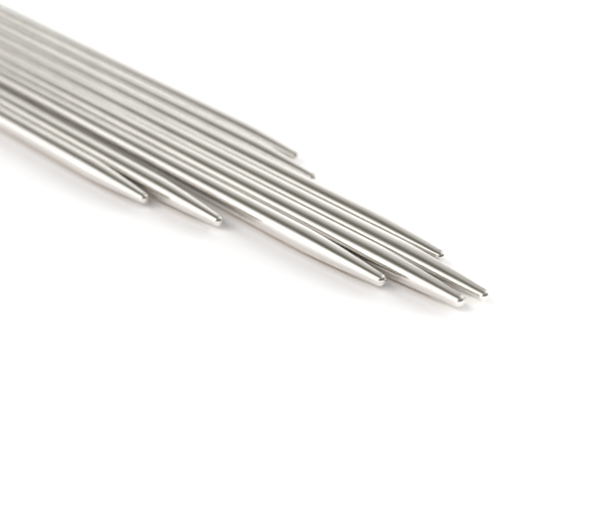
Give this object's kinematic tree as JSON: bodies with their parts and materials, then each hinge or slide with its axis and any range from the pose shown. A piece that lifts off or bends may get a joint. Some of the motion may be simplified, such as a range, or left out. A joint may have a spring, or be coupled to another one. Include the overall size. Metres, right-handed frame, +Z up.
{
  "type": "straight knitting needles",
  "caption": "Straight polished-steel knitting needles lying side by side, each a smooth shaft with a rounded point and a turned stopper, free to be drawn out along its own length.",
  "frame": {"origin": "on the table, directly below the point that reaches furthest", "axes": "+X along the needles towards their points, +Y from the front needle to the back one, +Z up from the table"},
  "size_m": [0.4056, 0.0553, 0.006],
  "materials": {
    "shaft_steel": "polished stainless steel with fine lengthwise polishing lines",
    "stopper_steel": "turned stainless steel with a satin sheen"
  },
  "bodies": {
    "needle_1": {"needle_1_shaft": "shaft_steel", "needle_1_stopper": "stopper_steel"},
    "needle_2": {"needle_2_shaft": "shaft_steel", "needle_2_stopper": "stopper_steel"},
    "needle_3": {"needle_3_shaft": "shaft_steel", "needle_3_stopper": "stopper_steel"},
    "needle_4": {"needle_4_shaft": "shaft_steel", "needle_4_stopper": "stopper_steel"},
    "needle_5": {"needle_5_shaft": "shaft_steel", "needle_5_stopper": "stopper_steel"},
    "needle_6": {"needle_6_shaft": "shaft_steel", "needle_6_stopper": "stopper_steel"},
    "needle_7": {"needle_7_shaft": "shaft_steel", "needle_7_stopper": "stopper_steel"},
    "needle_8": {"needle_8_shaft": "shaft_steel", "needle_8_stopper": "stopper_steel"}
  },
  "joints": [
    {"name": "needle_1_slide", "type": "slide", "parent": "needle_5", "child": "needle_1", "axis": [-0.9995, -0.0325, 0], "range_m": [0, 0.35]},
    {"name": "needle_2_slide", "type": "slide", "parent": "needle_5", "child": "needle_2", "axis": [-0.9997, -0.0244, 0], "range_m": [0, 0.35]},
    {"name": "needle_3_slide", "type": "slide", "parent": "needle_5", "child": "needle_3", "axis": [-0.9999, -0.0162, 0], "range_m": [0, 0.35]},
    {"name": "needle_4_slide", "type": "slide", "parent": "needle_5", "child": "needle_4", "axis": [-1, -0.0081, 0], "range_m": [0, 0.35]},
    {"name": "needle_6_slide", "type": "slide", "parent": "needle_5", "child": "needle_6", "axis": [-1, 0.0081, 0], "range_m": [0, 0.35]},
    {"name": "needle_7_slide", "type": "slide", "parent": "needle_5", "child": "needle_7", "axis": [-0.9999, 0.0162, 0], "range_m": [0, 0.35]},
    {"name": "needle_8_slide", "type": "slide", "parent": "needle_5", "child": "needle_8", "axis": [-0.9997, 0.0244, 0], "range_m": [0, 0.35]}
  ]
}
